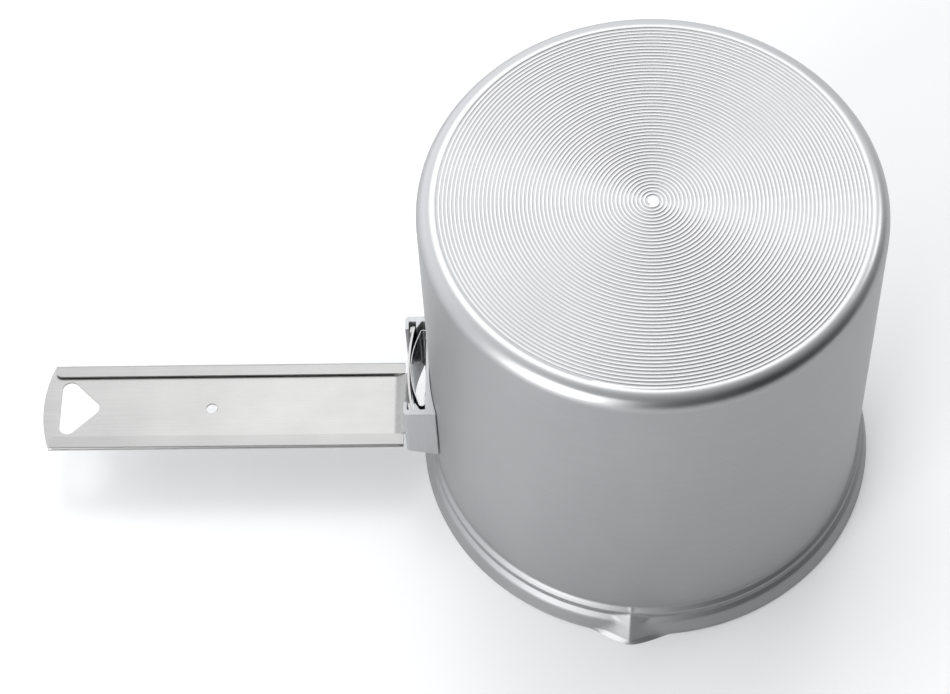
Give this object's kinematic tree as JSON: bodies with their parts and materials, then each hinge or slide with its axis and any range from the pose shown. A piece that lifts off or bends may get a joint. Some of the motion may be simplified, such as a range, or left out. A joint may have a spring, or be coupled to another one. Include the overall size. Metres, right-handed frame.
{
  "type": "melting pot",
  "caption": "Straight-sided drawn aluminium melting pot standing on its rim, with a creased pouring spout, a turned flat base and a flat steel handle that slides out of a bracket.",
  "frame": {"origin": "pot axis in the plane of the rim, on which the pot stands upside-down", "axes": "+Z from the rim to the base, -X along the handle, the spout about 5 degrees from -Y"},
  "size_m": [0.3125, 0.1727, 0.16],
  "materials": {
    "pot_aluminium": "satin spun, turned rings on the base",
    "bracket_aluminium": "matt extrusion with sawn ends",
    "rivet_aluminium": "bright set heads",
    "spring_steel": "polished stainless strip",
    "handle_steel": "stainless sheet brushed along its length"
  },
  "bodies": {
    "pot": {"pot_body": "pot_aluminium", "handle_bracket": "bracket_aluminium", "bracket_rivets": "rivet_aluminium", "leaf_spring": "spring_steel"},
    "handle": {"handle": "handle_steel"}
  },
  "joints": [
    {"name": "handle_slide", "type": "slide", "parent": "pot", "child": "handle", "axis": [0, 0, -1], "range_m": [0, 0.024]}
  ]
}
